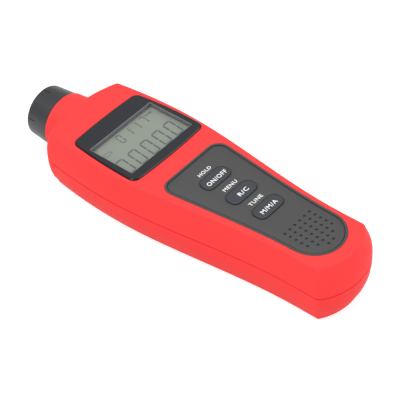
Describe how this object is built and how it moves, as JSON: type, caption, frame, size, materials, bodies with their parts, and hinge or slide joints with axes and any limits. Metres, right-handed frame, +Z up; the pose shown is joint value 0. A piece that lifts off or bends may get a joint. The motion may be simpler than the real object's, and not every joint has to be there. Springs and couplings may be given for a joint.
{
  "type": "laser tachometer",
  "caption": "Handheld laser tachometer: flared red two-shell casing with a sunk display under a dark bezel, a keypad panel, sound holes and a round grey sensor nose.",
  "frame": {"origin": "middle of the flat base, below the middle of the overall length, the instrument lying on its back", "axes": "+Y towards the laser nose along the longest extent, +X to the reader's right, +Z up out of the display"},
  "size_m": [0.0558, 0.184, 0.0334],
  "materials": {
    "red_shell": "fine satin moulded",
    "cap_plastic": "fine satin moulded",
    "filter_glass": "polished dark red filter",
    "black_plastic": "matte",
    "brass": "turned",
    "lens_glass": "polished",
    "board": "solder mask",
    "bezel_plastic": "polished",
    "window_glass": "clear polished",
    "holder_plastic": "matte",
    "lcd": "satin polariser",
    "strip_rubber": "matte",
    "panel_plastic": "fine matte",
    "key_rubber": "soft matte",
    "steel": "plated",
    "cell_wrap": "printed sleeve, left plain"
  },
  "bodies": {
    "housing": {"front_housing": "red_shell", "rear_housing": "red_shell", "sensor_cap": "cap_plastic", "nose_window": "filter_glass", "optics_holder": "black_plastic", "laser_module": "brass", "receiver_lens": "lens_glass", "photodiode": "black_plastic", "sensor_board": "board", "display_bezel": "bezel_plastic", "display_window": "window_glass", "lcd_holder": "holder_plastic", "lcd_panel": "lcd", "zebra_strips": "strip_rubber", "keypad_panel": "panel_plastic", "switch_bodies": "steel", "main_board": "board", "controller_chip": "black_plastic", "buzzer": "black_plastic", "battery_1": "cell_wrap", "battery_2": "cell_wrap", "battery_3": "cell_wrap", "battery_4": "cell_wrap", "battery_springs": "steel", "battery_contacts": "steel", "housing_screws": "steel", "board_screws": "steel"},
    "power_key": {"power_key": "key_rubber", "power_plunger": "black_plastic"},
    "menu_key": {"menu_key": "key_rubber", "menu_plunger": "black_plastic"},
    "tune_key": {"tune_key": "key_rubber", "tune_plunger": "black_plastic"},
    "battery_cover": {"battery_cover": "red_shell"}
  },
  "joints": [
    {"name": "power_key_press", "type": "slide", "parent": "housing", "child": "power_key", "axis": [0, 0, -1], "range_m": [0, 0.0008], "stiffness_N_per_m": 500},
    {"name": "menu_key_press", "type": "slide", "parent": "housing", "child": "menu_key", "axis": [0, 0, -1], "range_m": [0, 0.0008], "stiffness_N_per_m": 500},
    {"name": "tune_key_press", "type": "slide", "parent": "housing", "child": "tune_key", "axis": [0, 0, -1], "range_m": [0, 0.0008], "stiffness_N_per_m": 500},
    {"name": "battery_cover_swing", "type": "hinge", "parent": "housing", "child": "battery_cover", "pos_m": [0, 0.0505, 0.0002], "axis": [1, 0, 0], "range_deg": [0, 60]}
  ]
}
